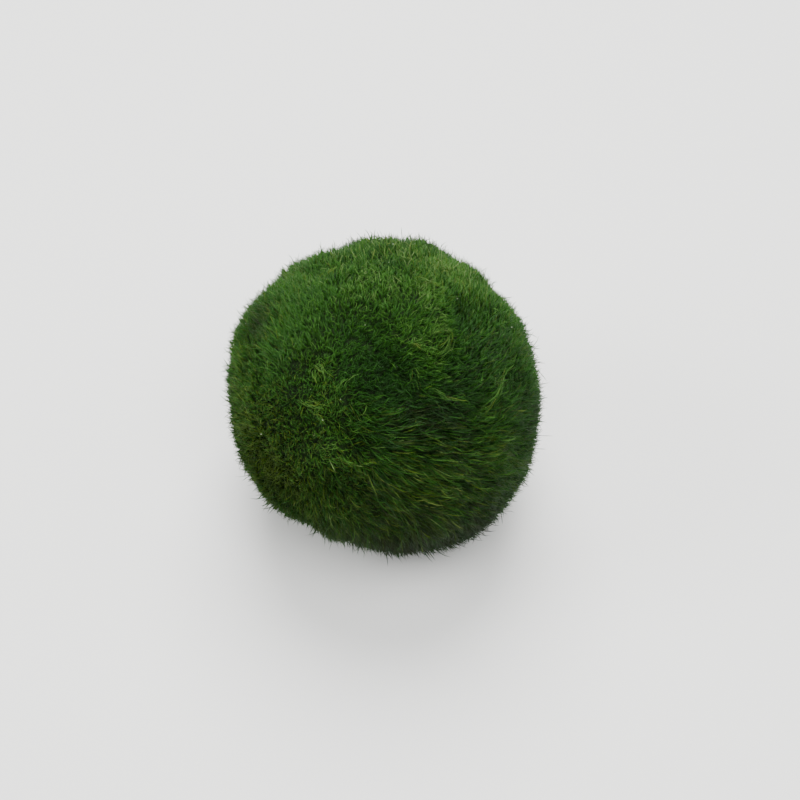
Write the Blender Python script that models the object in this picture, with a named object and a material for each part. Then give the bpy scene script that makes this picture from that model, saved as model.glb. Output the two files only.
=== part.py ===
# A marimo moss ball: one ball of dark green water moss that grew as a single felted mass.
# Units are metres and +Z is up. The ball rests on a small flat spot at z = 0, and its box is
# centred on the Z axis. The solid's skin runs over the tips of the moss.

import math

import bmesh
import bpy
from mathutils import Matrix, Vector, noise

# Driving dimensions
BALL_DIAMETER = 0.044            # mean, across the tips of the moss
RESTING_SPOT_DIAMETER = 0.015    # the patch that the ball's own weight presses flat
SPOT_RIM_BAND = 0.0015           # how near the spot's rim the skin is averaged, to level it
SKIN_SUBDIVISIONS = 5            # icosphere level, 5120 triangles before the spot is cut

# The tufts: a shallow two-scale unevenness all over the skin
TUFT_SIZE = 0.0085               # from one tuft to the next
TUFT_HEIGHT = 0.00042
TIP_SIZE = 0.0042                # from one group of tips to the next
TIP_HEIGHT = 0.00018

# Broad lumps and dents: where each one's middle points (azimuth and elevation in degrees,
# azimuth 0 along +X and 90 along +Y), its height as a share of the ball's radius, and its
# half width in degrees. A dent's height is negative.
LUMPS = {
    "crown ridge": (-7, 75, 0.030, 17),
    "crown back lump": (71, 38, 0.034, 15),
    "left shoulder": (160, 16, 0.046, 22),
    "lower right belly": (-48, -32, 0.062, 25),
    "front right cheek": (-40, 22, 0.018, 20),
    "front left cheek": (-130, 25, 0.016, 18),
    "back swelling": (110, -12, 0.030, 26),
    "back left hip": (168, -38, 0.026, 20),
    "right flat": (12, 10, -0.026, 16),
    "upper right flat": (42, 30, -0.026, 17),
    "parting hollow": (-79, 58, -0.030, 12),
    "left flat": (-168, -10, -0.028, 15),
    "lower left dent": (-118, -37, -0.054, 19),
    "back hollow": (62, -8, -0.024, 18),
}

# Looks of the plain solid
MOSS_COLOUR = (0.030, 0.062, 0.009, 1.0)
MOSS_ROUGHNESS = 0.85


def direction_of(azimuth, elevation):
    # Unit vector from two angles in degrees
    turn = math.radians(azimuth)
    rise = math.radians(elevation)
    flat = math.cos(rise)
    return Vector((flat * math.cos(turn), flat * math.sin(turn), math.sin(rise)))


def lump_share(direction):
    # Sum of the broad lumps and dents at a direction, as a share of the radius
    share = 0.0
    for azimuth, elevation, height, half_width in LUMPS.values():
        apart = math.degrees(direction.angle(direction_of(azimuth, elevation)))
        share += height * math.exp(-((apart / half_width) ** 2))
    return share


def tuft_height(direction):
    # Height of the tufts at a direction, in metres, above and below the mean skin
    on_skin = direction * (BALL_DIAMETER / 2)
    broad = noise.noise(on_skin / TUFT_SIZE)
    fine = noise.noise(on_skin / TIP_SIZE + Vector((7.0, 3.0, 5.0)))
    return TUFT_HEIGHT * broad + TIP_HEIGHT * fine


def shape_skin(skin):
    # Moves each point of a unit ball out to the moss's own radius
    radius = BALL_DIAMETER / 2
    for point in skin.verts:
        direction = point.co.normalized()
        point.co = direction * (radius * (1 + lump_share(direction)) + tuft_height(direction))


def resting_level(skin):
    # The mean height of the underside where it is the spot's radius away from the axis
    spot_radius = RESTING_SPOT_DIAMETER / 2
    rim_heights = [
        point.co.z
        for point in skin.verts
        if point.co.z < 0 and abs(point.co.xy.length - spot_radius) < SPOT_RIM_BAND
    ]
    return sum(rim_heights) / len(rim_heights)


def press_resting_spot(skin, level):
    # Cuts the underside off flat at a level and closes it with one face
    bmesh.ops.bisect_plane(
        skin,
        geom=skin.verts[:] + skin.edges[:] + skin.faces[:],
        dist=1e-6,
        plane_co=(0, 0, level),
        plane_no=(0, 0, -1),
        clear_outer=True,
    )
    rim = [edge for edge in skin.edges if edge.is_boundary]
    bmesh.ops.holes_fill(skin, edges=rim, sides=0)
    for point in {point for edge in rim for point in edge.verts}:
        point.co.z = level


def centre_on_axis(skin, level):
    # Puts the middle of the ball's box over the origin and the resting spot at z = 0
    across = [point.co.x for point in skin.verts]
    along = [point.co.y for point in skin.verts]
    middle = Vector(((min(across) + max(across)) / 2, (min(along) + max(along)) / 2, level))
    bmesh.ops.transform(skin, matrix=Matrix.Translation(-middle), verts=skin.verts)


def moss_material():
    material = bpy.data.materials.new("moss")
    material.use_nodes = True
    shader = material.node_tree.nodes["Principled BSDF"]
    shader.inputs["Base Color"].default_value = MOSS_COLOUR
    shader.inputs["Roughness"].default_value = MOSS_ROUGHNESS
    shader.inputs["Metallic"].default_value = 0.0
    return material


def build_moss_ball():
    skin = bmesh.new()
    bmesh.ops.create_icosphere(skin, subdivisions=SKIN_SUBDIVISIONS, radius=1.0)
    shape_skin(skin)
    level = resting_level(skin)
    press_resting_spot(skin, level)
    centre_on_axis(skin, level)
    bmesh.ops.recalc_face_normals(skin, faces=skin.faces)
    mesh = bpy.data.meshes.new("moss_ball")
    skin.to_mesh(mesh)
    skin.free()
    mesh.shade_smooth()
    mesh.set_sharp_from_angle(angle=math.radians(50))
    mesh.materials.append(moss_material())
    ball = bpy.data.objects.new("moss_ball", mesh)
    bpy.context.scene.collection.objects.link(ball)
    return ball


for old_object in list(bpy.data.objects):
    bpy.data.objects.remove(old_object, do_unlink=True)

build_moss_ball()
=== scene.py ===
import math

import bmesh
import bpy
import numpy as np
from mathutils import Euler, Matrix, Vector
from mathutils.bvhtree import BVHTree
from mathutils.kdtree import KDTree


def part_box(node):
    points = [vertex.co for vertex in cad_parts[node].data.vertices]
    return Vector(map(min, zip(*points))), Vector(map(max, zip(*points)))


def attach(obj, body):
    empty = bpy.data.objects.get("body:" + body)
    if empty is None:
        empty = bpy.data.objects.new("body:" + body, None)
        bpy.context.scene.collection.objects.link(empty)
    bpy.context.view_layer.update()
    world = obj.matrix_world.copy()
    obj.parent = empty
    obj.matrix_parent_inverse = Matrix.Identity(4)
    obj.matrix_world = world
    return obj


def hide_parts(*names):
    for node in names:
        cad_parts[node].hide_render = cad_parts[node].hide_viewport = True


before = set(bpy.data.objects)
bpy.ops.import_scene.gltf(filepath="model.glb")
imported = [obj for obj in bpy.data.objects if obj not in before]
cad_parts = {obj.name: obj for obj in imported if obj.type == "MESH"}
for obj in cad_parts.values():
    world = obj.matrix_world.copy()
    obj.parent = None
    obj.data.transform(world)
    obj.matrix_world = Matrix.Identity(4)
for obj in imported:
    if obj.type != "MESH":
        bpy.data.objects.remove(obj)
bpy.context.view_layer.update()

mm = 0.001
lowCorner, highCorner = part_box("moss_ball")
heart = (lowCorner + highCorner) / 2                  # the middle of the ball
ballSize = highCorner - lowCorner
ballRadius = (ballSize.x + ballSize.y + ballSize.z) / 6

# The side that the viewer sees, as three directions: to the right, up, and towards the viewer
viewer = {
    "elevation": 50,          # degrees above level, looking along +Y
    "distance": 280 * mm,
    "lens": 90,               # mm
    "sensor": 36,             # mm
    "nearest": 10 * mm,       # nothing nearer to the camera is drawn
    "ballLeftOfMiddle": 2.3 * mm,
    "ballAboveMiddle": 1.1 * mm,
}
viewRise = math.radians(viewer["elevation"])
toRight = np.array((1.0, 0.0, 0.0))
toTop = np.array((0.0, math.sin(viewRise), math.cos(viewRise)))
toViewer = np.array((0.0, -math.cos(viewRise), math.sin(viewRise)))


def makeCamera():
    lens = bpy.data.cameras.new("camera")
    lens.lens = viewer["lens"]
    lens.sensor_width = viewer["sensor"]
    lens.clip_start = viewer["nearest"]
    camera = bpy.data.objects.new("camera", lens)
    bpy.context.scene.collection.objects.link(camera)
    aside = toRight * viewer["ballLeftOfMiddle"] - toTop * viewer["ballAboveMiddle"]
    camera.location = heart + Vector(toViewer * viewer["distance"] + aside)
    camera.rotation_euler = Euler((math.pi / 2 - viewRise, 0, 0))
    bpy.context.scene.camera = camera


# The skin of the solid, measured from the heart in rows from top to bottom and columns around
skin = {"rows": 120, "columns": 240}


def measureSkin():
    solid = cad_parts["moss_ball"].data
    corners = [vertex.co for vertex in solid.vertices]
    tree = BVHTree.FromPolygons(corners, [face.vertices for face in solid.polygons])
    table = np.zeros((skin["rows"] + 1, skin["columns"]))
    for row in range(skin["rows"] + 1):
        down = math.pi * row / skin["rows"]
        across = math.sin(down)
        for column in range(skin["columns"]):
            turn = 2 * math.pi * column / skin["columns"]
            ray = Vector((across * math.cos(turn), across * math.sin(turn), math.cos(down)))
            distance = tree.ray_cast(heart, ray)[3]
            table[row, column] = distance if distance else ballRadius
    return table


def skinRadius(ways):
    # How far the skin is from the heart along each way, between the table's four nearest values
    row = np.arccos(ways[:, 2].clip(-1, 1)) / math.pi * skin["rows"]
    column = np.arctan2(ways[:, 1], ways[:, 0]) / (2 * math.pi) % 1 * skin["columns"]
    top = np.minimum(row.astype(int), skin["rows"] - 1)
    left = column.astype(int) % skin["columns"]
    right = (left + 1) % skin["columns"]
    down, over = row - top, column - np.floor(column)
    upper = skinTable[top, left] * (1 - over) + skinTable[top, right] * over
    lower = skinTable[top + 1, left] * (1 - over) + skinTable[top + 1, right] * over
    return upper * (1 - down) + lower * down


def unit(vectors):
    return vectors / np.maximum(np.linalg.norm(vectors, axis=-1, keepdims=True), 1e-12)


def ripples(ways, swells):
    # A smooth uneven field over the ball. Each swell has its strength, the distance from one rise
    # to the next, and a seed.
    count = 9                 # waves that cross each other in every swell
    total = 0
    for strength, size, seed in swells:
        dice = np.random.default_rng(seed)
        waves = unit(dice.normal(size=(count, 3))) * (2 * math.pi * ballRadius / size)
        starts = dice.uniform(0, 2 * math.pi, count)
        rises = np.sin(ways @ waves.T + starts).sum(1) / math.sqrt(count)
        total = total + strength * rises
    return total


def evenWays(count, dice, stray):
    # Directions spread evenly over the ball, each moved a little off its place
    steps = np.arange(count) + 0.5
    height = 1 - 2 * steps / count
    turn = steps * math.pi * (3 - math.sqrt(5))
    flat = np.sqrt(1 - height**2)
    ways = np.stack([flat * np.cos(turn), flat * np.sin(turn), height], 1)
    apart = math.sqrt(4 * math.pi / count)
    return unit(ways + dice.normal(size=(count, 3)) * apart * stray)


# How the moss is combed. Each guide stands at a place on the ball as the viewer sees it, given
# in shares of the ball's radius to the right and up, on the near side (1) or the far side (-1),
# and points the moss along a heading in degrees: 0 to the right, 90 up.
combing = {
    "guides": {
        "right of the parting": (-0.08, -0.12, 1, 26),
        "under the parting": (-0.18, -0.28, 1, 26),
        "low tuft": (-0.38, -0.32, 1, -50),
        "middle": (0.25, -0.20, 1, -10),
        "low middle": (0.00, -0.58, 1, -4),
        "low right": (0.45, -0.55, 1, -10),
        "bottom": (0.10, -0.90, 1, -16),
        "right cheek": (0.78, -0.35, 1, 32),
        "inner right cheek": (0.58, -0.06, 1, 64),
        "right side": (0.76, 0.14, 1, 80),
        "upper right": (0.68, 0.52, 1, 126),
        "crown right": (0.32, 0.84, 1, 136),
        "crown": (-0.10, 0.86, 1, 104),
        "crest": (0.04, 0.48, 1, -10),
        "inner upper left": (-0.26, 0.54, 1, 52),
        "inner right": (0.30, 0.18, 1, -40),
        "upper left": (-0.60, 0.50, 1, 128),
        "left side": (-0.88, 0.02, 1, 45),
        "left of the parting": (-0.55, -0.04, 1, 64),
        "above the parting": (-0.16, 0.26, 1, 6),
        "low left": (-0.70, -0.44, 1, 84),
        "below the parting": (-0.36, -0.66, 1, -4),
        "far middle": (0.00, 0.00, -1, 60),
        "far left": (-0.60, 0.20, -1, 200),
        "far right": (0.60, 0.20, -1, -20),
        "far low": (0.00, -0.60, -1, 250),
        "far high": (0.00, 0.65, -1, 80),
    },
    "reach": 0.42,            # radians over which a guide leads the moss
    "everywhere": 1e-5,       # the least pull of a guide, far away from it
    "steepest": 1.4,          # limit on how far a guide tips towards the viewer or away
    # Radians that the moss wanders off its heading, the size of the swells in which it does, and
    # a seed: for broad swells, small ones, and single locks
    "wander": [(0.55, 9.0 * mm, 11), (0.50, 3.4 * mm, 12), (0.42, 1.7 * mm, 13)],
    "loosest": 1.5,           # the wander is multiplied by this less the firmness
    "firm": 0.75,             # share of agreement between guides at which the moss lies fully over
    "standing": 0.65,         # share of its lean that moss keeps where the guides disagree
}


def placeSeen(right, up, side):
    # The place on a ball of radius 1 that the viewer sees there
    towards = side * math.sqrt(1 - right**2 - up**2)
    return toRight * right + toTop * up + toViewer * towards


def guideTangent(place, heading):
    # The tangent to the ball that the viewer sees running along the heading
    along = toRight * math.cos(heading) + toTop * math.sin(heading)
    lift = -(along @ place) / (toViewer @ place)
    return along + toViewer * max(-combing["steepest"], min(combing["steepest"], lift))


# Locks that lie over the rest: the near side (1) or the far one (-1), how many strands, and the
# path that the viewer sees the lock run along
locks = {
    "paths": {
        "curl": (
            1, 18, [(0.34, 0.37), (0.40, 0.37), (0.42, 0.32), (0.39, 0.26), (0.34, 0.22), (0.27, 0.24)],
        ),
        "curl tip": (1, 8, [(0.26, 0.31), (0.30, 0.35), (0.35, 0.37)]),
        "beside the curl": (1, 10, [(0.16, 0.30), (0.22, 0.27), (0.29, 0.25)]),
        "down from the curl": (1, 6, [(0.19, 0.16), (0.22, 0.08), (0.26, 0.00)]),
        "over the hollow": (1, 7, [(0.25, 0.03), (0.33, 0.00), (0.42, -0.05), (0.52, -0.08)]),
        "small yellow tuft": (1, 14, [(-0.45, 0.17), (-0.40, 0.17), (-0.35, 0.12), (-0.31, 0.07)]),
        "small yellow tail": (1, 8, [(-0.44, 0.16), (-0.41, 0.09), (-0.38, 0.04)]),
        "arch": (1, 5, [(-0.27, -0.04), (-0.24, 0.03), (-0.18, 0.09), (-0.10, 0.13)]),
        "yellow tuft": (1, 16, [(-0.52, -0.05), (-0.45, -0.07), (-0.38, -0.10), (-0.30, -0.08)]),
        "yellow tail": (1, 10, [(-0.45, -0.06), (-0.39, -0.13), (-0.33, -0.21)]),
        "ridge tips": (1, 10, [(0.16, 0.70), (0.22, 0.68), (0.32, 0.66), (0.40, 0.60)]),
        "right streak": (1, 12, [(0.58, -0.18), (0.64, -0.08), (0.72, 0.06), (0.78, 0.18)]),
        "top squiggle": (1, 10, [(-0.35, 0.82), (-0.31, 0.86), (-0.33, 0.91)]),
        "top cross lock": (1, 8, [(-0.38, 0.74), (-0.34, 0.78), (-0.30, 0.82)]),
        "far curl": (-1, 18, [(-0.30, 0.20), (-0.38, 0.26), (-0.46, 0.22), (-0.45, 0.14), (-0.38, 0.10)]),
        "far arch": (-1, 10, [(0.20, -0.10), (0.28, -0.02), (0.38, 0.00), (0.46, -0.05)]),
        "far tuft": (-1, 14, [(-0.10, -0.40), (-0.02, -0.42), (0.06, -0.48)]),
    },
    "rounds": 3,              # times that the corners of a path are cut off
    "cornerCut": 0.25,        # share of each stretch that is cut off at a corner
    "reach": 0.5 * mm,        # how far from its path a lock leads the moss
    "lead": 2.0,              # how strongly it leads the moss there
    # painted light: the moss beside a lock is made lighter by this much
    "glow": 0.07,             # how much lighter the moss beside it is
    "rings": 4,
    "seed": 81,
    "width": 0.085 * mm,
    "widthSpread": 0.2,
    "widthLimits": (0.6, 1.5),
    "latestStart": 0.5,       # share of its path within which every strand starts
    "strandShare": (0.35, 0.6),   # shortest and longest strand, as a share of the path
    "spread": 0.28 * mm,      # sideways, over the lock's own breadth
    "crossing": 0.9,          # how much the strands cross each other, as a share of the spread
    "waver": 0.22,            # and how much each one wavers
    "rootDepth": 0.9 * mm,
    "rootShare": 0.3,         # share of a strand that comes up from its root
    "lift": 0.05 * mm,        # height of its back over the moss's surface
    "liftSpread": 0.15 * mm,
    "liftPower": 0.6,         # under 1, the back is broad and level
    "tone": 0.765,
    "toneSpread": 0.05,
    "oliveShare": 0.2,
}


def lockPath(side, places):
    # A path over the near or the far side, with its corners cut off until it is round
    path = np.array([placeSeen(right, up, side) for right, up in places])
    share = locks["cornerCut"]
    for cut in range(locks["rounds"]):
        early = path[:-1] * (1 - share) + path[1:] * share
        late = path[:-1] * share + path[1:] * (1 - share)
        path = np.concatenate([path[:1], np.stack([early, late], 1).reshape(-1, 3), path[-1:]])
    return path


def nearestLock(ways):
    # How near each way is to a lock, from 0 to 1, and which way that lock runs there
    nearness = np.zeros(len(ways))
    runs = np.zeros_like(ways)
    for side, count, places in locks["paths"].values():
        path = unit(lockPath(side, places))
        facing = ways @ path.T
        apart = np.arccos(facing.max(1).clip(-1, 1)) * ballRadius
        here = np.exp(-((apart / locks["reach"]) ** 2))
        along = unit(np.gradient(path, axis=0))[facing.argmax(1)]
        runs = np.where((here > nearness)[:, None], along, runs)
        nearness = np.maximum(nearness, here)
    return nearness, runs


def combedHeadings(ways):
    # The heading at each way, and how firmly the moss is combed there, from 0 to 1
    pull = np.zeros_like(ways)
    total = np.zeros(len(ways))
    for right, up, side, heading in combing["guides"].values():
        place = placeSeen(right, up, side)
        apart = np.arccos((ways @ place).clip(-1, 1))
        weight = np.exp(-((apart / combing["reach"]) ** 2)) + combing["everywhere"]
        pull += weight[:, None] * unit(guideTangent(place, math.radians(heading)))
        total += weight
    pull -= (pull * ways).sum(1, keepdims=True) * ways
    firmness = (np.linalg.norm(pull, axis=1) / total / combing["firm"]).clip(0, 1)
    wander = ripples(ways, combing["wander"]) * (combing["loosest"] - firmness)
    headings = turned(unit(pull), ways, wander)
    nearness, runs = nearestLock(ways)
    return unit(headings + runs * (nearness * locks["lead"])[:, None]), firmness


def turned(headings, ways, angle):
    # Headings turned about the way out of the ball
    side = np.cross(ways, headings)
    return headings * np.cos(angle)[:, None] + side * np.sin(angle)[:, None]


# Places where the moss differs, as the viewer sees them. Each one has its place, its reach in
# radians, and what it adds there:
#   tone, where 1 is the whole way from the darkest strand to the lightest, mostly painted light and shade
#   olive, the share of strands that are olive and not green
#   streaks, how much more the strands' own tones differ, as a share
#   length, lean and width, as shares of the strand's own
#   tidy, where 1 takes away the turns and curls of single strands and of tufts
#   gather, how far the tips lean in to the middle of their tuft, as a share of the way
#   rise, the height of the moss
# Apart from the brown patches and the yellow tufts, whose tone is the moss's own colour, a patch's tone
# is painted light and shade: lighter tone is painted light, darker tone is painted shade.
patches = {
    "crown glow": {"at": (0.00, 0.88, 1), "reach": 0.42, "tone": 0.03},
    "crown wool": {"at": (-0.05, 0.82, 1), "reach": 0.42, "lean": 0.18, "tidy": -1.7, "streaks": 0.6},
    "upper middle": {"at": (0.00, 0.66, 1), "reach": 0.34, "tone": 0.08, "olive": -0.10},
    "left stubble": {
        "at": (-0.60, -0.24, 1), "reach": 0.34, "tone": 0.17, "lean": 0.08, "length": -0.12,
        "tidy": -0.25,
    },
    "upper left glow": {"at": (-0.58, 0.48, 1), "reach": 0.28, "tone": 0.14},
    "upper right glow": {"at": (0.46, 0.80, 1), "reach": 0.22, "tone": 0.25},
    "crest glow": {"at": (-0.14, 0.60, 1), "reach": 0.16, "tone": 0.13},
    "middle glow": {"at": (0.08, 0.34, 1), "reach": 0.13, "tone": 0.15},
    "below the curl glow": {"at": (0.30, 0.15, 1), "reach": 0.12, "tone": 0.16},
    "far left glow": {"at": (-0.93, 0.14, 1), "reach": 0.18, "tone": 0.10},
    "right rim shade": {"at": (0.96, -0.16, 1), "reach": 0.26, "tone": -0.24},
    "low right rim shade": {"at": (0.56, -0.80, 1), "reach": 0.30, "tone": -0.32},
    "low rim shade": {"at": (0.06, -0.98, 1), "reach": 0.34, "tone": -0.40},
    "hollow shade": {"at": (0.18, -0.18, 1), "reach": 0.12, "tone": -0.24},
    "soft left": {"at": (-0.34, 0.16, 1), "reach": 0.48, "streaks": -0.40, "gather": -0.06},
    "crisp right": {"at": (0.66, 0.10, 1), "reach": 0.40, "streaks": 0.30, "gather": 0.10, "width": 0.10},
    "crisp crown": {"at": (0.06, 0.94, 1), "reach": 0.34, "streaks": 0.5, "gather": 0.12},
    "hollow tail": {"at": (0.39, -0.14, 1), "reach": 0.08, "tone": -0.14},
    "shade inside the left mound": {"at": (-0.34, 0.43, 1), "reach": 0.11, "tone": -0.13},
    "inner cheek glow": {"at": (0.58, -0.18, 1), "reach": 0.12, "tone": 0.15},
    "green right": {"at": (0.55, 0.05, 1), "reach": 0.35, "olive": -0.12},
    "middle sweep": {"at": (0.08, -0.20, 1), "reach": 0.26, "length": 0.35, "lean": 0.12, "tidy": 0.45},
    "deep gap": {"at": (-0.18, -0.33, 1), "reach": 0.06, "tone": -0.24, "rise": -0.8 * mm},
    "left mound": {"at": (-0.50, 0.26, 1), "reach": 0.20, "rise": 0.5 * mm},
    "ridge start": {"at": (-0.24, 0.60, 1), "reach": 0.13, "tone": 0.03, "rise": 0.5 * mm},
    "ridge": {"at": (0.02, 0.63, 1), "reach": 0.12, "tone": 0.05, "rise": 0.6 * mm},
    "ridge bend": {"at": (0.25, 0.59, 1), "reach": 0.12, "tone": 0.15, "rise": 0.6 * mm},
    "ridge end": {"at": (0.36, 0.47, 1), "reach": 0.10, "tone": 0.10, "rise": 0.5 * mm},
    "shade past the ridge": {"at": (0.51, 0.48, 1), "reach": 0.14, "tone": -0.20, "rise": -1.0 * mm},
    "shade before the ridge": {"at": (-0.14, 0.42, 1), "reach": 0.15, "tone": -0.07, "rise": -0.4 * mm},
    "below the curl": {"at": (0.22, 0.22, 1), "reach": 0.12, "tone": 0.12},
    "curl": {"at": (0.38, 0.35, 1), "reach": 0.12, "tone": 0.13, "rise": 0.5 * mm, "tidy": -0.5},
    "shade under the curl": {"at": (0.42, 0.14, 1), "reach": 0.12, "tone": -0.07, "rise": -0.5 * mm},
    "right shade": {"at": (0.70, 0.12, 1), "reach": 0.32, "tone": -0.17},
    "right streak": {"at": (0.68, 0.02, 1), "reach": 0.12, "tone": 0.05, "rise": 0.3 * mm},
    "hollow": {"at": (0.05, 0.15, 1), "reach": 0.15, "tone": -0.18, "rise": -1.2 * mm},
    "inner shade": {"at": (0.30, -0.13, 1), "reach": 0.29, "tone": -0.32},
    "middle shade": {"at": (-0.06, -0.06, 1), "reach": 0.20, "tone": -0.07},
    "shade above the parting": {"at": (-0.21, 0.14, 1), "reach": 0.16, "tone": -0.16},
    "hollow foot": {"at": (0.20, -0.04, 1), "reach": 0.13, "tone": -0.06, "rise": -0.9 * mm},
    "gap below the parting": {"at": (-0.11, -0.33, 1), "reach": 0.09, "tone": -0.16, "rise": -0.8 * mm},
    "combed sweep": {"at": (0.22, -0.52, 1), "reach": 0.56, "length": 0.70, "lean": 0.20, "tidy": 0.65},
    "sweep locks": {
        "at": (0.26, -0.58, 1), "reach": 0.60, "gather": 0.20, "streaks": 0.95, "width": 0.15,
        "olive": 0.22,
    },
    "olive rim": {"at": (0.00, -0.95, 1), "reach": 0.60, "olive": 0.35},
    "olive left": {"at": (-0.80, -0.40, 1), "reach": 0.50, "olive": 0.50},
    "green middle": {"at": (-0.06, 0.22, 1), "reach": 0.48, "olive": -0.22},
    "fine upper moss": {"at": (-0.30, 0.45, 1), "reach": 0.50, "gather": -0.10, "olive": -0.08},
    "sweep fold": {"at": (0.52, -0.30, 1), "reach": 0.14, "tone": -0.05, "rise": -0.4 * mm},
    "yellow tuft": {
        "at": (-0.30, -0.06, 1), "reach": 0.10, "tone": 0.07, "rise": 0.6 * mm, "tidy": -0.4,
        "olive": 0.2,
    },
    "small yellow tuft": {
        "at": (-0.36, 0.14, 1), "reach": 0.07, "tone": 0.05, "rise": 0.3 * mm, "olive": 0.2,
    },
    "low tuft": {"at": (-0.31, -0.38, 1), "reach": 0.13, "tone": 0.14, "rise": 0.9 * mm},
    "brown left edge": {
        "at": (-0.82, 0.42, 1), "reach": 0.15, "tone": -0.26, "rise": -0.4 * mm, "olive": 0.5,
    },
    "left shade": {"at": (-0.62, 0.20, 1), "reach": 0.19, "tone": -0.13},
    "shade under the low tuft": {
        "at": (-0.37, -0.54, 1), "reach": 0.13, "tone": -0.22, "rise": -0.8 * mm,
    },
    "low right shade": {"at": (0.60, -0.56, 1), "reach": 0.26, "tone": -0.12},
    "right cheek glow": {"at": (0.68, -0.23, 1), "reach": 0.14, "tone": 0.07},
    "low middle shade": {"at": (-0.22, -0.48, 1), "reach": 0.14, "tone": -0.07},
    "brown low left": {
        "at": (-0.68, -0.52, 1), "reach": 0.18, "tone": -0.04, "rise": -0.2 * mm, "olive": 0.4,
    },
    "low left dip": {"at": (-0.14, -0.62, 1), "reach": 0.12, "tone": -0.06, "rise": -0.4 * mm},
    "low yellow band": {"at": (0.14, -0.62, 1), "reach": 0.20, "tone": 0.05, "rise": 0.2 * mm},
    "low left flat": {"at": (-0.24, -0.96, 1), "reach": 0.16, "rise": -0.5 * mm},
    "low right flat": {"at": (0.28, -0.95, 1), "reach": 0.18, "rise": -0.6 * mm},
    "low left edge": {"at": (-0.86, -0.48, 1), "reach": 0.20, "rise": 0.4 * mm},
    "right flat": {"at": (0.93, -0.33, 1), "reach": 0.18, "rise": -0.5 * mm},
    "low left swell": {"at": (-0.64, -0.75, 1), "reach": 0.18, "rise": 0.5 * mm},
    "upper right swell": {"at": (0.71, 0.69, 1), "reach": 0.16, "rise": 0.5 * mm},
    "underside": {"at": (0.30, -0.92, 1), "reach": 0.55, "tone": -0.12},
    "far hollow": {"at": (-0.20, 0.10, -1), "reach": 0.22, "tone": -0.10, "rise": -1.0 * mm},
    "far ridge": {"at": (0.05, 0.25, -1), "reach": 0.14, "tone": 0.05, "rise": 0.6 * mm},
    "far mound": {"at": (0.30, -0.20, -1), "reach": 0.26, "tone": 0.04, "rise": 0.5 * mm},
    "far tuft": {"at": (-0.50, -0.30, -1), "reach": 0.11, "tone": 0.12, "rise": 0.5 * mm, "tidy": -0.4},
    "far gap": {"at": (0.10, -0.50, -1), "reach": 0.11, "tone": -0.09, "rise": -0.8 * mm},
    "far sweep": {"at": (-0.10, -0.60, -1), "reach": 0.50, "length": 0.55, "lean": 0.18, "tidy": 0.6},
    "far locks": {
        "at": (-0.10, -0.60, -1), "reach": 0.50, "gather": 0.20, "streaks": 0.95, "width": 0.15,
        "olive": 0.22,
    },
    "far crown": {"at": (0.20, 0.60, -1), "reach": 0.34, "tone": 0.06, "lean": -0.15, "tidy": -0.3},
}

# How the moss's own surface lies over the skin, apart from the patches
relief = {
    # Height, size and seed
    "mounds": [(0.28 * mm, 8 * mm, 15), (0.12 * mm, 4 * mm, 16)],
    "rise": 0.14 * mm,
    "floorClearance": 0.15 * mm,  # below this the moss is pressed flat
}


def patchChange(ways, name):
    change = np.zeros(len(ways))
    for patch in patches.values():
        if name in patch:
            apart = np.arccos((ways @ placeSeen(*patch["at"])).clip(-1, 1))
            change += patch[name] * np.exp(-((apart / patch["reach"]) ** 2))
    return change


def reliefHeight(ways):
    return ripples(ways, relief["mounds"]) + relief["rise"] + patchChange(ways, "rise")


def overSkin(ways, heights):
    # Points at a height over the skin
    return np.array(heart) + ways * (skinRadius(ways) + heights)[:, None]


def keptAboveFloor(points):
    # Presses whatever would reach the floor flat just above it
    height = points[..., 2]
    clearance = relief["floorClearance"]
    pressed = clearance * np.exp((height - clearance) / clearance)
    points[..., 2] = np.where(height > clearance, height, pressed)
    return points


def growPaths(ways, headings, growth):
    # Each strand's points from root to tip, worked out over the curve of the skin
    steps = growth["rings"] + 1
    reach = growth["length"] / steps
    heights = growth["rootHeight"]
    points = [overSkin(ways, heights)]
    for step in range(steps):
        share = (step + 0.5) / steps
        lean = growth["leanAtRoot"] + (growth["leanAtTip"] - growth["leanAtRoot"]) * share
        ways = unit(ways + headings * (np.sin(lean) * reach / ballRadius)[:, None])
        headings = unit(headings - (headings * ways).sum(1, keepdims=True) * ways)
        headings = turned(headings, ways, growth["curl"] / steps)
        heights = heights + np.cos(lean) * reach
        points.append(overSkin(ways, heights))
    return np.stack(points, 1)


# Strands gather in tufts, broad ones and small ones inside them, whose strands have something in
# common: each number is how much it differs from one tuft to the next
tufts = {
    "broad": {
        "apart": 3.4 * mm, "stray": 0.35, "seed": 21,
        "turn": 0.20, "lean": 0.07, "length": 0.06, "tone": 0.020, "curl": 0.3,
    },
    "small": {
        "apart": 0.55 * mm, "stray": 0.35, "seed": 22,
        "turn": 0.34, "lean": 0.15, "length": 0.13, "tone": 0.052, "curl": 0.6,
    },
}


def plantTufts(settings):
    dice = np.random.default_rng(settings["seed"])
    count = int(4 * math.pi * ballRadius**2 / settings["apart"] ** 2)
    ways = evenWays(count, dice, settings["stray"])
    tree = KDTree(count)
    for number, way in enumerate(ways):
        tree.insert(way, number)
    tree.balance()
    names = ("turn", "lean", "length", "tone", "curl")
    changes = {name: dice.normal(size=count) * settings[name] for name in names}
    return {"ways": ways, "tree": tree, "changes": changes}


def nearestTufts(planted, ways):
    return np.array([planted["tree"].find(way)[1] for way in ways])


# What the layers of strands have in common
everyLayer = {
    "stray": 0.5,             # how far the roots are off an even spread, as a share of their spacing
    "lengthLimits": (0.3, 1.7),
    "looseLength": 0.8,       # share of their length that strands keep where they aren't combed
    "widthSpread": 0.25,
    "widthLimits": (0.5, 1.6),
    "gatherMost": 0.8,        # as far as a patch can bring it
    "gatherPower": 1.4,       # over 1, a strand leans in to its tuft mostly near its tip
    "toneLimits": (0.02, 0.98),
    "toneDrift": [(0.05, 14 * mm, 31)],  # tone, size and seed of the broad swells of light moss
    "oliveShare": 0.14,
}


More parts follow.
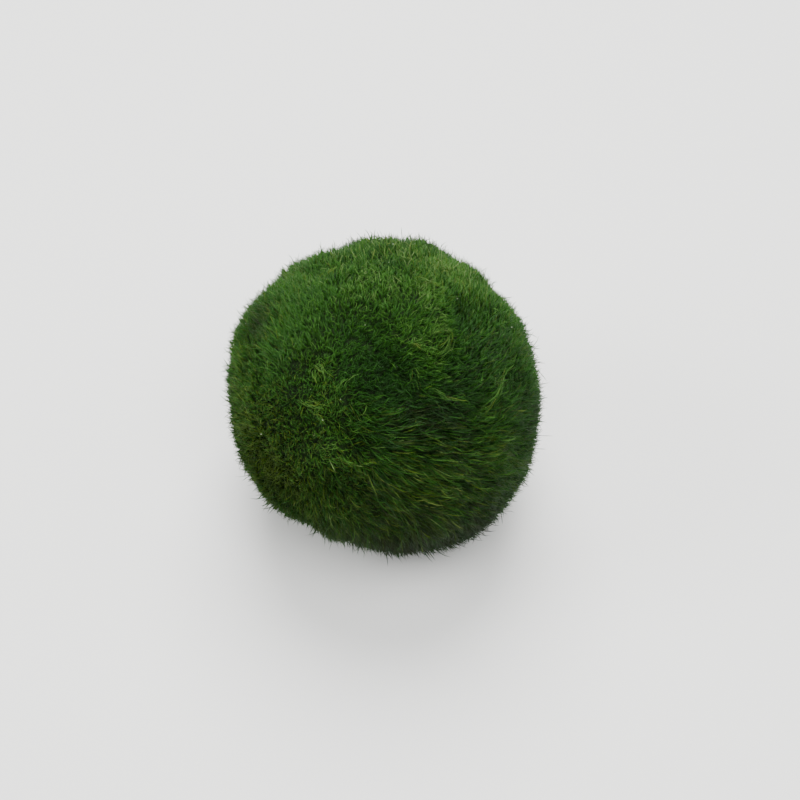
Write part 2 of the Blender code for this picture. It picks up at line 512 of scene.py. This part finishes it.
def growLayer(name, layer):
    dice = np.random.default_rng(layer["seed"])
    count = layer["strands"]
    ways = evenWays(count, dice, everyLayer["stray"])
    broad = nearestTufts(broadTufts, ways)
    small = nearestTufts(smallTufts, ways)
    untidy = 1 - patchChange(ways, "tidy")

    def tuftChange(name):
        return broadTufts["changes"][name][broad] + smallTufts["changes"][name][small]

    headings, firmness = combedHeadings(ways)
    lying = combing["standing"] + (1 - combing["standing"]) * firmness
    leanSpread = dice.normal(size=count) * layer["leanSpread"]
    leanShare = lying * (1 + patchChange(ways, "lean"))
    lengthShare = 1 + tuftChange("length") + dice.normal(size=count) * layer["lengthSpread"]
    lengthShare = lengthShare.clip(*everyLayer["lengthLimits"])
    lengthShare = lengthShare * (1 + patchChange(ways, "length") * layer["follow"])
    combedLength = everyLayer["looseLength"] + (1 - everyLayer["looseLength"]) * firmness
    growth = {
        "rings": layer["rings"],
        "rootHeight": reliefHeight(ways) - layer["rootDepth"],
        "length": layer["length"] * lengthShare * combedLength,
        "leanAtRoot": layer["leanAtRoot"] * leanShare + leanSpread / 2,
        "leanAtTip": layer["leanAtTip"] * leanShare + tuftChange("lean") * untidy + leanSpread,
        "curl": (tuftChange("curl") + dice.normal(size=count) * layer["curl"]) * untidy,
    }
    turn = tuftChange("turn") + dice.normal(size=count) * layer["turnSpread"]
    points = growPaths(ways, turned(headings, ways, turn * untidy), growth)

    # The tips lean in to the middle of their tuft
    middles = smallTufts["ways"][small]
    middleHeadings = turned(combedHeadings(middles)[0], middles, tuftChange("turn") * untidy)
    middlePoints = growPaths(middles, middleHeadings, growth | {"curl": tuftChange("curl") * untidy})
    gather = (layer["gather"] + patchChange(ways, "gather")).clip(0, everyLayer["gatherMost"])
    share = np.linspace(0, 1, points.shape[1]) ** everyLayer["gatherPower"] * gather[:, None]
    points = points + (middlePoints - points) * share[:, :, None]

    streaks = 1 + patchChange(ways, "streaks")
    ownTone = layer["tone"] - 0.5 + tuftChange("tone") + dice.normal(size=count) * layer["toneSpread"]
    # The patches' tone adds painted light and shade to the strand's own tone
    tone = 0.5 + ownTone * streaks + patchChange(ways, "tone")
    # The moss beside a lock gets painted light here
    tone = tone + ripples(ways, everyLayer["toneDrift"]) + nearestLock(ways)[0] * locks["glow"]
    olive = dice.random(count) < everyLayer["oliveShare"] + patchChange(ways, "olive")
    widthShare = 1 + everyLayer["widthSpread"] * dice.normal(size=count)
    width = layer["width"] * (1 + patchChange(ways, "width"))
    width = width * widthShare.clip(*everyLayer["widthLimits"])
    return strandMesh(name, points, tone.clip(*everyLayer["toneLimits"]), olive, width, dice)


# The closed blade of three sides that each strand is, drawn to a point at both ends
blade = {
    "roll": 0.6,              # radians that it may turn about its own line, either way
    "back": 1.1,              # height of its back, as a share of half its width
    "taper": [(0, 0.6), (0.3, 1), (0.6, 1), (1, 0.55)],  # width from root to tip, as a share
    "mapStep": 1.2 / 1024,    # spacing of its three edges on the map, so that no face is a line
    "mapMargin": 0.01,        # share of its half of the map left free at each end
}


def strandMesh(name, points, tone, olive, width, dice):
    count, rows = points.shape[:2]
    rings = rows - 2
    along = unit(points[:, 2:] - points[:, :-2])
    outward = unit(points[:, 1:-1] - np.array(heart))
    flatSide = unit(np.cross(along, outward) + 1e-9)
    flatBack = np.cross(flatSide, along)
    roll = dice.uniform(-blade["roll"], blade["roll"], (count, 1, 1))
    side = flatSide * np.cos(roll) + flatBack * np.sin(roll)
    back = flatBack * np.cos(roll) - flatSide * np.sin(roll)
    taper = np.interp(np.arange(1, rows - 1) / (rows - 1), *zip(*blade["taper"]))
    half = width[:, None, None] / 2 * taper[None, :, None]
    middle = points[:, 1:-1]
    spine = middle + back * half * blade["back"]
    corners = np.stack([middle - side * half, middle + side * half, spine], 2)
    vertices = np.concatenate([points[:, :1], corners.reshape(count, rings * 3, 3), points[:, -1:]], 1)
    vertices = keptAboveFloor(vertices)

    # Each strand's faces: a fan at the root, bands between the rings, a fan at the tip
    last = rings * 3 + 1
    fan = [(0, 1 + (i + 1) % 3, 1 + i) for i in range(3)]
    for ring in range(rings - 1):
        near, far = 1 + ring * 3, 4 + ring * 3
        for i in range(3):
            j = (i + 1) % 3
            fan += [(near + i, near + j, far + j), (near + i, far + j, far + i)]
    tipRing = last - 3
    fan += [(tipRing + i, tipRing + (i + 1) % 3, last) for i in range(3)]
    faces = copiedFaces(fan, last + 1, count)

    # The map's first direction is the strand's tone. Its second runs from root to tip, in the
    # lower half of the map for a green strand and in the upper half for an olive one.
    edges = np.array([1] + [0, 1, 2] * rings + [1])
    reach = np.repeat(np.arange(rows) / (rows - 1), [1] + [3] * rings + [1])
    across = tone[:, None] + edges[None, :] * blade["mapStep"]
    margin = blade["mapMargin"]
    up = (olive[:, None] + margin + (1 - 2 * margin) * reach[None, :]) / 2
    places = np.stack([across, up], 2).reshape(-1, 2)
    return newMesh(name, vertices.reshape(-1, 3), faces, places)


def copiedFaces(faces, points, copies):
    # The faces of many copies of one shape, whose points follow each other in the mesh
    return (np.arange(copies)[:, None, None] * points + np.array(faces)[None]).reshape(-1, 3)


def roundShape(subdivisions):
    # The points and faces of a ball of radius 1
    ball = bmesh.new()
    bmesh.ops.create_icosphere(ball, subdivisions=subdivisions, radius=1)
    points = np.array([point.co for point in ball.verts])
    faces = np.array([[point.index for point in face.verts] for face in ball.faces])
    ball.free()
    return points, faces


def newMesh(name, vertices, faces, places=None):
    mesh = bpy.data.meshes.new(name)
    mesh.vertices.add(len(vertices))
    mesh.vertices.foreach_set("co", vertices.astype(np.float32).ravel())
    mesh.loops.add(faces.size)
    mesh.loops.foreach_set("vertex_index", faces.astype(np.int32).ravel())
    mesh.polygons.add(len(faces))
    mesh.polygons.foreach_set("loop_start", np.arange(0, faces.size, 3, dtype=np.int32))
    if places is not None:
        layer = mesh.uv_layers.new(name="OFBake")
        layer.uv.foreach_set("vector", places[faces.ravel()].astype(np.float32).ravel())
    mesh.update(calc_edges=True)
    mesh.validate()
    mesh.shade_smooth()
    piece = bpy.data.objects.new(name, mesh)
    bpy.context.scene.collection.objects.link(piece)
    return piece


# Finish of the strands. Colours run from the darkest tone to the lightest.
strandFinish = {
    "green": [
        (0.00, (0.0048, 0.0150, 0.0010)),
        (0.22, (0.0042, 0.0290, 0.0010)),
        (0.46, (0.0105, 0.0560, 0.0018)),
        (0.68, (0.0260, 0.0920, 0.0050)),
        (0.85, (0.0600, 0.1380, 0.0200)),
        (1.00, (0.1200, 0.1880, 0.0560)),
    ],
    "olive": [
        (0.00, (0.0100, 0.0140, 0.0010)),
        (0.22, (0.0110, 0.0260, 0.0010)),
        (0.46, (0.0230, 0.0510, 0.0016)),
        (0.68, (0.0470, 0.0880, 0.0046)),
        (0.85, (0.0800, 0.1300, 0.0130)),
        (1.00, (0.1300, 0.1760, 0.0380)),
    ],
    # darker towards the root: partly the strand's own colour, partly painted shade deep in the pile
    "rootShadeToTip": [(0.0, 0.40), (0.35, 0.66), (0.7, 0.90), (1.0, 1.08)],
    "roughness": [(0.0, 0.72), (0.6, 0.54), (1.0, 0.44)],
    "specular": 0.16,
}


def newMaterial(name):
    material = bpy.data.materials.new(name)
    material.use_nodes = True
    nodes = material.node_tree.nodes
    return material, nodes["Principled BSDF"], nodes, material.node_tree.links


def rampOf(nodes, links, source, stops):
    # Colours, or plain values, that follow the source's value from stop to stop
    ramp = nodes.new("ShaderNodeValToRGB")
    elements = ramp.color_ramp.elements
    while len(elements) < len(stops):
        elements.new(0.5)
    for element, (place, colour) in zip(elements, stops):
        element.position = place
        element.color = (*colour, 1) if isinstance(colour, tuple) else (colour, colour, colour, 1)
    links.new(source, ramp.inputs[0])
    return ramp.outputs["Color"]


def grainOf(nodes, links, scale, detail):
    # A fine uneven value that is fixed to the piece itself
    where = nodes.new("ShaderNodeTexCoord")
    noise = nodes.new("ShaderNodeTexNoise")
    noise.inputs["Scale"].default_value = scale
    noise.inputs["Detail"].default_value = detail
    links.new(where.outputs["Object"], noise.inputs["Vector"])
    return noise.outputs["Fac"]


def mathNode(nodes, links, operation, source, number):
    node = nodes.new("ShaderNodeMath")
    node.operation = operation
    links.new(source, node.inputs[0])
    node.inputs[1].default_value = number
    return node.outputs[0]


def strandMaterial():
    material, shader, nodes, links = newMaterial("moss strands")
    places = nodes.new("ShaderNodeUVMap")
    places.uv_map = "OFBake"
    split = nodes.new("ShaderNodeSeparateXYZ")
    links.new(places.outputs["UV"], split.inputs[0])
    isOlive = mathNode(nodes, links, "GREATER_THAN", split.outputs["Y"], 0.5)
    doubled = mathNode(nodes, links, "MULTIPLY", split.outputs["Y"], 2)
    upStrand = mathNode(nodes, links, "MODULO", doubled, 1)

    tint = nodes.new("ShaderNodeMix")
    tint.data_type = "RGBA"
    links.new(isOlive, tint.inputs["Factor"])
    for name, socket in (("green", 6), ("olive", 7)):  # the two colours that the node mixes
        links.new(rampOf(nodes, links, split.outputs["X"], strandFinish[name]), tint.inputs[socket])

    # Each strand is dark and rough at its root, and lighter and smoother towards its tip; the dark root
    # is partly the strand's own colour and partly painted shade deep in the pile
    brightest = max(value for place, value in strandFinish["rootShadeToTip"])
    stops = [(place, value / brightest) for place, value in strandFinish["rootShadeToTip"]]
    shade = mathNode(nodes, links, "MULTIPLY", rampOf(nodes, links, upStrand, stops), brightest)
    dim = nodes.new("ShaderNodeVectorMath")
    dim.operation = "SCALE"
    links.new(tint.outputs[2], dim.inputs[0])
    links.new(shade, dim.inputs["Scale"])
    links.new(dim.outputs[0], shader.inputs["Base Color"])
    links.new(rampOf(nodes, links, upStrand, strandFinish["roughness"]), shader.inputs["Roughness"])
    shader.inputs["Specular IOR Level"].default_value = strandFinish["specular"]
    return material


# The layers of strands, from the short dense moss inside to the few that stray outside. A lean is
# in radians from straight out of the ball, and turns and curls are in radians too. "follow" is how
# much of a patch's change in length the layer takes up.
layers = {
    "short_moss_a": {
        "strands": 31000, "rings": 1, "seed": 41, "rootDepth": 1.7 * mm, "length": 1.8 * mm,
        "width": 0.12 * mm, "leanAtRoot": 0.25, "leanAtTip": 0.95, "leanSpread": 0.22,
        "turnSpread": 0.50, "lengthSpread": 0.14, "curl": 0.4, "gather": 0.20,
        "follow": 0.3, "tone": 0.45, "toneSpread": 0.07,
    },
    "short_moss_b": {
        "strands": 31000, "rings": 1, "seed": 42, "rootDepth": 1.6 * mm, "length": 1.8 * mm,
        "width": 0.11 * mm, "leanAtRoot": 0.25, "leanAtTip": 1.00, "leanSpread": 0.24,
        "turnSpread": 0.50, "lengthSpread": 0.14, "curl": 0.4, "gather": 0.20,
        "follow": 0.3, "tone": 0.47, "toneSpread": 0.08,
    },
    "long_moss_a": {
        "strands": 15500, "rings": 2, "seed": 51, "rootDepth": 1.5 * mm, "length": 1.95 * mm,
        "width": 0.095 * mm, "leanAtRoot": 0.35, "leanAtTip": 1.15, "leanSpread": 0.22,
        "turnSpread": 0.50, "lengthSpread": 0.16, "curl": 0.8, "gather": 0.25,
        "follow": 0.9, "tone": 0.47, "toneSpread": 0.09,
    },
    "long_moss_b": {
        "strands": 15500, "rings": 2, "seed": 52, "rootDepth": 1.4 * mm, "length": 1.85 * mm,
        "width": 0.085 * mm, "leanAtRoot": 0.35, "leanAtTip": 1.15, "leanSpread": 0.34,
        "turnSpread": 0.55, "lengthSpread": 0.16, "curl": 1.0, "gather": 0.20,
        "follow": 1.0, "tone": 0.50, "toneSpread": 0.10,
    },
    "light_moss": {
        "strands": 10300, "rings": 3, "seed": 53, "rootDepth": 1.35 * mm, "length": 1.95 * mm,
        "width": 0.088 * mm, "leanAtRoot": 0.40, "leanAtTip": 1.25, "leanSpread": 0.26,
        "turnSpread": 0.65, "lengthSpread": 0.18, "curl": 1.5, "gather": 0.10,
        "follow": 1.1, "tone": 0.61, "toneSpread": 0.10,
    },
    "stray_moss": {
        "strands": 2100, "rings": 3, "seed": 61, "rootDepth": 1.3 * mm, "length": 2.2 * mm,
        "width": 0.115 * mm, "leanAtRoot": 0.30, "leanAtTip": 0.90, "leanSpread": 0.32,
        "turnSpread": 0.9, "lengthSpread": 0.22, "curl": 2.4, "gather": 0.0,
        "follow": 0.8, "tone": 0.52, "toneSpread": 0.12,
    },
}


def makeLayer(name, material):
    piece = growLayer(name, layers[name])
    piece.data.materials.append(material)
    return piece


def growLock(side, count, places, dice):
    # The points of a lock's strands, each of which runs along its own stretch of the path
    path = lockPath(side, places)
    travel = np.concatenate([[0], np.linalg.norm(np.diff(path, axis=0), axis=1).cumsum()])
    step = np.linspace(0, 1, locks["rings"] + 2)
    begin = dice.uniform(0, locks["latestStart"], (count, 1))
    end = np.minimum(begin + dice.uniform(*locks["strandShare"], (count, 1)), 1)
    share = begin + (end - begin) * step
    along = np.stack([np.interp(share * travel[-1], travel, path[:, axis]) for axis in range(3)], 2)
    ways = unit(along)
    across = unit(np.cross(ways, np.gradient(along, axis=1)))
    crossing = dice.normal(size=(count, 1)) * locks["crossing"] * np.linspace(-1, 1, len(step))
    waver = dice.normal(size=share.shape) * locks["waver"] + dice.normal(size=(count, 1)) + crossing
    ways = unit(ways + across * (waver * locks["spread"] / ballRadius)[:, :, None])
    back = locks["lift"] + locks["liftSpread"] * dice.normal(size=(count, 1))
    sunk = np.interp(step, [0, locks["rootShare"], 1], [-locks["rootDepth"], 0, 0])
    heights = sunk + back * np.sin(step * math.pi).clip(0) ** locks["liftPower"]
    flat = ways.reshape(-1, 3)
    return overSkin(flat, reliefHeight(flat) + heights.ravel()).reshape(ways.shape)


def makeLocks(material):
    dice = np.random.default_rng(locks["seed"])
    points = np.concatenate([growLock(*path, dice) for path in locks["paths"].values()])
    count = len(points)
    tone = locks["tone"] + dice.normal(size=count) * locks["toneSpread"]
    widthShare = 1 + locks["widthSpread"] * dice.normal(size=count)
    width = locks["width"] * widthShare.clip(*locks["widthLimits"])
    olive = dice.random(count) < locks["oliveShare"]
    piece = strandMesh("curled_moss", points, tone.clip(*everyLayer["toneLimits"]), olive, width, dice)
    piece.data.materials.append(material)
    return piece


# The few small pale specks that sit among the tips
grains = {
    "count": 34,
    "seed": 91,
    "size": 0.15 * mm,
    "sizes": (0.5, 1.3),      # smallest and largest, as shares of the size
    "squash": (0.6, 1.2),     # how much each of a grain's three measures may differ
    "lumps": 0.12,            # unevenness of its surface
    "lowest": -0.8,           # height of the lowest, in radii above the heart
    "height": 0.10 * mm,      # of their middles over the moss's surface
    "subdivisions": 2,
    "grainScale": 3000,
    "grainDetail": 3,
    "colours": [(0.30, (0.10, 0.13, 0.07)), (0.60, (0.21, 0.25, 0.16))],
    "roughness": [(0.30, 0.5), (0.70, 0.3)],
}


def makeGrains():
    dice = np.random.default_rng(grains["seed"])
    shape, faces = roundShape(grains["subdivisions"])
    ways = unit(dice.normal(size=(grains["count"], 3)))
    ways = ways[ways[:, 2] > grains["lowest"]]
    count = len(ways)
    middles = overSkin(ways, reliefHeight(ways) + grains["height"])
    sizes = grains["size"] * dice.uniform(*grains["sizes"], (count, 1, 1))
    sizes = sizes * dice.uniform(*grains["squash"], (count, 1, 3))
    lumps = 1 + grains["lumps"] * dice.normal(size=(count, len(shape), 1))
    vertices = middles[:, None] + shape[None] / 2 * sizes * lumps
    return newMesh("pale_specks", vertices.reshape(-1, 3), copiedFaces(faces, len(shape), count))


def grainMaterial():
    material, shader, nodes, links = newMaterial("pale specks")
    mottle = grainOf(nodes, links, grains["grainScale"], grains["grainDetail"])
    links.new(rampOf(nodes, links, mottle, grains["colours"]), shader.inputs["Base Color"])
    links.new(rampOf(nodes, links, mottle, grains["roughness"]), shader.inputs["Roughness"])
    return material


# The matted moss that shows between the strands, coloured far darker than the strands as painted shade
# deep in the pile
felt = {
    "depth": 1.5 * mm,
    "subdivisions": 6,
    "lumps": [(0.20 * mm, 2.4 * mm, 71), (0.08 * mm, 0.9 * mm, 72)],  # height, size and seed
    "grainScale": 900,
    "grainDetail": 4,
    # painted shade: the matted moss's colours are kept near black
    "colours": [(0.35, (0.0028, 0.0085, 0.0010)), (0.68, (0.0078, 0.0230, 0.0022))],
    "bump": 0.6,
    "bumpHeight": 0.1 * mm,
    "roughness": 0.9,
    "specular": 0.2,
}


def makeFelt():
    shape, faces = roundShape(felt["subdivisions"])
    ways = unit(shape)
    heights = reliefHeight(ways) - felt["depth"] + ripples(ways, felt["lumps"])
    return newMesh("moss_felt", keptAboveFloor(overSkin(ways, heights)), faces)


def feltMaterial():
    material, shader, nodes, links = newMaterial("matted moss")
    grain = grainOf(nodes, links, felt["grainScale"], felt["grainDetail"])
    links.new(rampOf(nodes, links, grain, felt["colours"]), shader.inputs["Base Color"])
    bump = nodes.new("ShaderNodeBump")
    bump.inputs["Strength"].default_value = felt["bump"]
    bump.inputs["Distance"].default_value = felt["bumpHeight"]
    links.new(grain, bump.inputs["Height"])
    links.new(bump.outputs["Normal"], shader.inputs["Normal"])
    shader.inputs["Roughness"].default_value = felt["roughness"]
    shader.inputs["Specular IOR Level"].default_value = felt["specular"]
    return material


studio = {
    "floorSize": 1.6,
    "floorColour": (0.70, 0.70, 0.68),
    "floorRoughness": 0.8,
    "worldColour": (0.95, 0.97, 1.0),
    "worldStrength": 0.55,
    # name: place from the ball (m), width (m), power (W)
    "lights": {
        "high back light": ((0.00, 0.24, 0.44), 0.40, 6.2),
        "left light": ((-0.42, -0.06, 0.26), 0.30, 1.8),
        "right light": ((0.42, 0.02, 0.30), 0.30, 0.6),
        "front fill": ((0.06, -0.24, 0.47), 0.40, 3.6),
    },
}


def makeFloor():
    mesh = bpy.data.meshes.new("floor")
    half = studio["floorSize"] / 2
    corners = [(-half, -half, 0), (half, -half, 0), (half, half, 0), (-half, half, 0)]
    mesh.from_pydata(corners, [], [(0, 1, 2, 3)])
    floor = bpy.data.objects.new("floor", mesh)
    bpy.context.scene.collection.objects.link(floor)
    paint, shader = newMaterial("floor")[:2]
    shader.inputs["Base Color"].default_value = (*studio["floorColour"], 1)
    shader.inputs["Roughness"].default_value = studio["floorRoughness"]
    mesh.materials.append(paint)


def makeLights():
    for name, (place, width, power) in studio["lights"].items():
        light = bpy.data.lights.new(name, "AREA")
        light.shape = "DISK"
        light.size = width
        light.energy = power
        lamp = bpy.data.objects.new(name, light)
        lamp.location = heart + Vector(place)
        lamp.rotation_euler = Vector(place).to_track_quat("Z", "Y").to_euler()
        bpy.context.scene.collection.objects.link(lamp)
    world = bpy.data.worlds.new("studio")
    world.use_nodes = True
    background = world.node_tree.nodes["Background"]
    background.inputs["Color"].default_value = (*studio["worldColour"], 1)
    background.inputs["Strength"].default_value = studio["worldStrength"]
    bpy.context.scene.world = world


makeCamera()
print("camera placed")
makeFloor()
makeLights()
print("floor laid and studio lit")
skinTable = measureSkin()
print("skin measured")
broadTufts = plantTufts(tufts["broad"])
smallTufts = plantTufts(tufts["small"])
print("tufts planted:", len(broadTufts["ways"]), "broad,", len(smallTufts["ways"]), "small")

mossFelt = makeFelt()
mossFelt.data.materials.append(feltMaterial())
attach(mossFelt, "root")
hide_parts("moss_ball")
print("felt made:", len(mossFelt.data.polygons), "faces")

strandGreen = strandMaterial()
for layerName in layers:
    mossLayer = makeLayer(layerName, strandGreen)
    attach(mossLayer, "root")
    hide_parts("moss_ball")
    print(layerName, "grown:", len(mossLayer.data.polygons), "faces")

mossLocks = makeLocks(strandGreen)
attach(mossLocks, "root")
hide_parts("moss_ball")
print("locks laid:", len(mossLocks.data.polygons), "faces")

paleSpecks = makeGrains()
paleSpecks.data.materials.append(grainMaterial())
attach(paleSpecks, "root")
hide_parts("moss_ball")
print("grains scattered:", len(paleSpecks.data.polygons), "faces")
